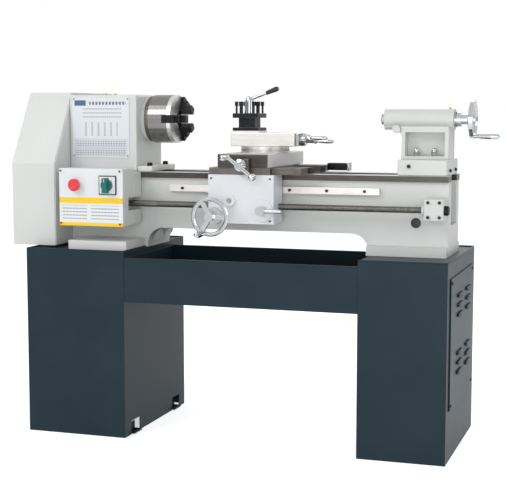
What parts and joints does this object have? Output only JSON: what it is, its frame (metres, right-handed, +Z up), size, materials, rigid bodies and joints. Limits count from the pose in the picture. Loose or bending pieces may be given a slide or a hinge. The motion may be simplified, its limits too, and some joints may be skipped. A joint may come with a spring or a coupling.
{
  "type": "metal lathe",
  "caption": "Bench lathe on a two-cabinet stand with a chip tray, three-jaw chuck, carriage with compound slide and tool post, leadscrew, and tailstock.",
  "frame": {"origin": "centre of the bounding box at the floor", "axes": "+X along the bed from the headstock to the tailstock, +Y away from the operator, +Z up"},
  "size_m": [1.578, 0.582, 1.1348],
  "materials": {
    "slate_paint": "semi-gloss",
    "cream_paint": "semi-gloss",
    "panel_paint": "semi-gloss",
    "bare_steel": "ground",
    "bare_iron": "machined",
    "chrome": "polished",
    "black_steel": "blackened",
    "black_plastic": "matte",
    "red_plastic": "gloss",
    "teal_plastic": "gloss",
    "belt_rubber": "matte",
    "brass": "machined",
    "motor_paint": "semi-gloss"
  },
  "bodies": {
    "machine": {"left_cabinet": "slate_paint", "right_cabinet": "slate_paint", "louvre_panel": "slate_paint", "chip_tray": "slate_paint", "bed": "cream_paint", "feed_rack": "bare_steel", "leadscrew_bracket": "cream_paint", "headstock": "cream_paint", "rear_bearing": "bare_steel", "front_bearing": "bare_steel", "bearing_cap": "cream_paint", "index_plate": "panel_paint", "gear_case_back": "cream_paint", "idler_stud": "bare_steel", "motor_case": "motor_paint", "drive_belt": "belt_rubber", "electrical_box": "cream_paint", "feed_box": "cream_paint", "control_panel": "panel_paint", "switch_plate": "black_plastic"},
    "cover": {"gear_cover": "cream_paint"},
    "chuck": {"spindle": "bare_steel", "chuck_backplate": "bare_iron", "chuck_body": "bare_steel", "spindle_pulley": "bare_iron", "spindle_gear": "bare_steel"},
    "jaw_1": {"chuck_jaw_1": "black_steel"},
    "jaw_2": {"chuck_jaw_2": "black_steel"},
    "jaw_3": {"chuck_jaw_3": "black_steel"},
    "idler": {"idler_gear": "bare_steel"},
    "feed_screw": {"leadscrew": "bare_steel", "leadscrew_gear": "bare_steel"},
    "motor_rotor": {"motor_pulley": "bare_iron"},
    "button": {"stop_button": "red_plastic"},
    "switch": {"switch_knob": "teal_plastic"},
    "carriage": {"saddle": "bare_iron", "apron": "panel_paint", "cross_bracket": "bare_iron"},
    "apron_wheel": {"apron_handwheel": "chrome", "wheel_handle": "chrome"},
    "pinion": {"rack_pinion": "bare_steel"},
    "nut_lever": {"half_nut_lever": "chrome"},
    "nut": {"half_nut": "brass"},
    "cross": {"cross_slide": "cream_paint"},
    "cross_handle": {"cross_crank": "chrome"},
    "swivel": {"swivel_base": "bare_steel"},
    "top": {"top_slide": "bare_steel", "top_bracket": "bare_steel", "post_stud": "bare_steel"},
    "top_handle": {"top_crank": "chrome"},
    "post": {"tool_post": "black_steel"},
    "clamp": {"clamp_lever": "chrome"},
    "tail": {"tailstock_base": "cream_paint", "tailstock_body": "cream_paint", "clamp_stud_1": "bare_steel", "clamp_stud_2": "bare_steel", "quill_clamp": "bare_steel"},
    "tail_wheel": {"tail_handwheel": "chrome", "tail_handle": "chrome"},
    "quill": {"quill": "bare_steel"}
  },
  "joints": [
    {"name": "cover_swing", "type": "hinge", "parent": "machine", "child": "cover", "pos_m": [-0.635, 0.29, 0.614], "axis": [0, 0, -1], "range_deg": [0, 100]},
    {"name": "spindle_spin", "type": "hinge", "parent": "machine", "child": "chuck", "pos_m": [-0.709, 0.046, 1.03], "axis": [1, 0, 0], "continuous": true},
    {"name": "jaw_1_travel", "type": "slide", "parent": "chuck", "child": "jaw_1", "axis": [0, -1, 0], "range_m": [0, 0.012]},
    {"name": "jaw_2_travel", "type": "slide", "parent": "chuck", "child": "jaw_2", "axis": [0, 0.5, -0.866], "range_m": [0, 0.012]},
    {"name": "jaw_3_travel", "type": "slide", "parent": "chuck", "child": "jaw_3", "axis": [0, 0.5, 0.866], "range_m": [0, 0.012]},
    {"name": "idler_spin", "type": "hinge", "parent": "machine", "child": "idler", "pos_m": [-0.709, -0.02184, 0.90135], "axis": [1, 0, 0], "continuous": true},
    {"name": "leadscrew_spin", "type": "hinge", "parent": "machine", "child": "feed_screw", "pos_m": [-0.709, -0.099, 0.755], "axis": [1, 0, 0], "continuous": true},
    {"name": "motor_spin", "type": "hinge", "parent": "machine", "child": "motor_rotor", "pos_m": [-0.709, 0.221, 0.68], "axis": [1, 0, 0], "continuous": true},
    {"name": "stop_press", "type": "slide", "parent": "machine", "child": "button", "axis": [0, 1, 0], "range_m": [0, 0.005], "stiffness_N_per_m": 400},
    {"name": "switch_turn", "type": "hinge", "parent": "machine", "child": "switch", "pos_m": [-0.423, -0.229, 0.819], "axis": [0, 1, 0], "range_deg": [-45, 45]},
    {"name": "carriage_travel", "type": "slide", "parent": "machine", "child": "carriage", "axis": [1, 0, 0], "range_m": [-0.1, 0.05]},
    {"name": "apron_wheel_turn", "type": "hinge", "parent": "carriage", "child": "apron_wheel", "pos_m": [-0.072, -0.229, 0.727], "axis": [0, 1, 0], "range_deg": [-1150, 575]},
    {"name": "pinion_turn", "type": "hinge", "parent": "carriage", "child": "pinion", "pos_m": [-0.026, -0.229, 0.776], "axis": [0, 1, 0], "range_deg": [-155, 310]},
    {"name": "nut_lever_turn", "type": "hinge", "parent": "carriage", "child": "nut_lever", "pos_m": [0.083, -0.229, 0.746], "axis": [0, 1, 0], "range_deg": [0, 40]},
    {"name": "nut_travel", "type": "slide", "parent": "carriage", "child": "nut", "axis": [0, 0, 1], "range_m": [0, 0.008]},
    {"name": "cross_travel", "type": "slide", "parent": "carriage", "child": "cross", "axis": [0, 1, 0], "range_m": [0, 0.09]},
    {"name": "cross_crank_turn", "type": "hinge", "parent": "carriage", "child": "cross_handle", "pos_m": [0.026, -0.229, 0.889], "axis": [0, 1, 0], "range_deg": [0, 8110]},
    {"name": "compound_swivel", "type": "hinge", "parent": "cross", "child": "swivel", "pos_m": [0.029, 0.036, 0.922], "axis": [0, 0, 1], "range_deg": [-45, 45]},
    {"name": "top_travel", "type": "slide", "parent": "swivel", "child": "top", "axis": [1, 0, 0], "range_m": [-0.035, 0.01]},
    {"name": "top_crank_turn", "type": "hinge", "parent": "top", "child": "top_handle", "pos_m": [-0.709, 0.036, 0.964], "axis": [1, 0, 0], "range_deg": [-4210, 1210]},
    {"name": "post_index", "type": "hinge", "parent": "top", "child": "post", "pos_m": [-0.025, 0.036, 1.049], "axis": [0, 0, 1], "continuous": true},
    {"name": "clamp_turn", "type": "hinge", "parent": "top", "child": "clamp", "pos_m": [-0.025, 0.036, 1.049], "axis": [0, 0, 1], "range_deg": [-30, 60]},
    {"name": "tail_travel", "type": "slide", "parent": "machine", "child": "tail", "axis": [1, 0, 0], "range_m": [-0.03, 0]},
    {"name": "tail_wheel_turn", "type": "hinge", "parent": "tail", "child": "tail_wheel", "pos_m": [-0.709, 0.046, 1.03], "axis": [1, 0, 0], "range_deg": [0, 3590]},
    {"name": "quill_travel", "type": "slide", "parent": "tail", "child": "quill", "axis": [1, 0, 0], "range_m": [-0.04, 0]}
  ],
  "couplings": [
    {"joint": "jaw_2_travel", "follows": "jaw_1_travel", "ratio": 1},
    {"joint": "jaw_3_travel", "follows": "jaw_1_travel", "ratio": 1},
    {"joint": "idler_spin", "follows": "spindle_spin", "ratio": -0.38095},
    {"joint": "leadscrew_spin", "follows": "spindle_spin", "ratio": 0.66667},
    {"joint": "motor_spin", "follows": "spindle_spin", "ratio": 2},
    {"joint": "apron_wheel_turn", "follows": "carriage_travel", "rad_per_m": 200},
    {"joint": "pinion_turn", "follows": "carriage_travel", "rad_per_m": -53},
    {"joint": "nut_lever_turn", "follows": "nut_travel", "rad_per_m": 87.2},
    {"joint": "cross_crank_turn", "follows": "cross_travel", "rad_per_m": 1570.8},
    {"joint": "top_crank_turn", "follows": "top_travel", "rad_per_m": 2094.4},
    {"joint": "quill_travel", "follows": "tail_wheel_turn", "m_per_rad": -0.00063662}
  ]
}
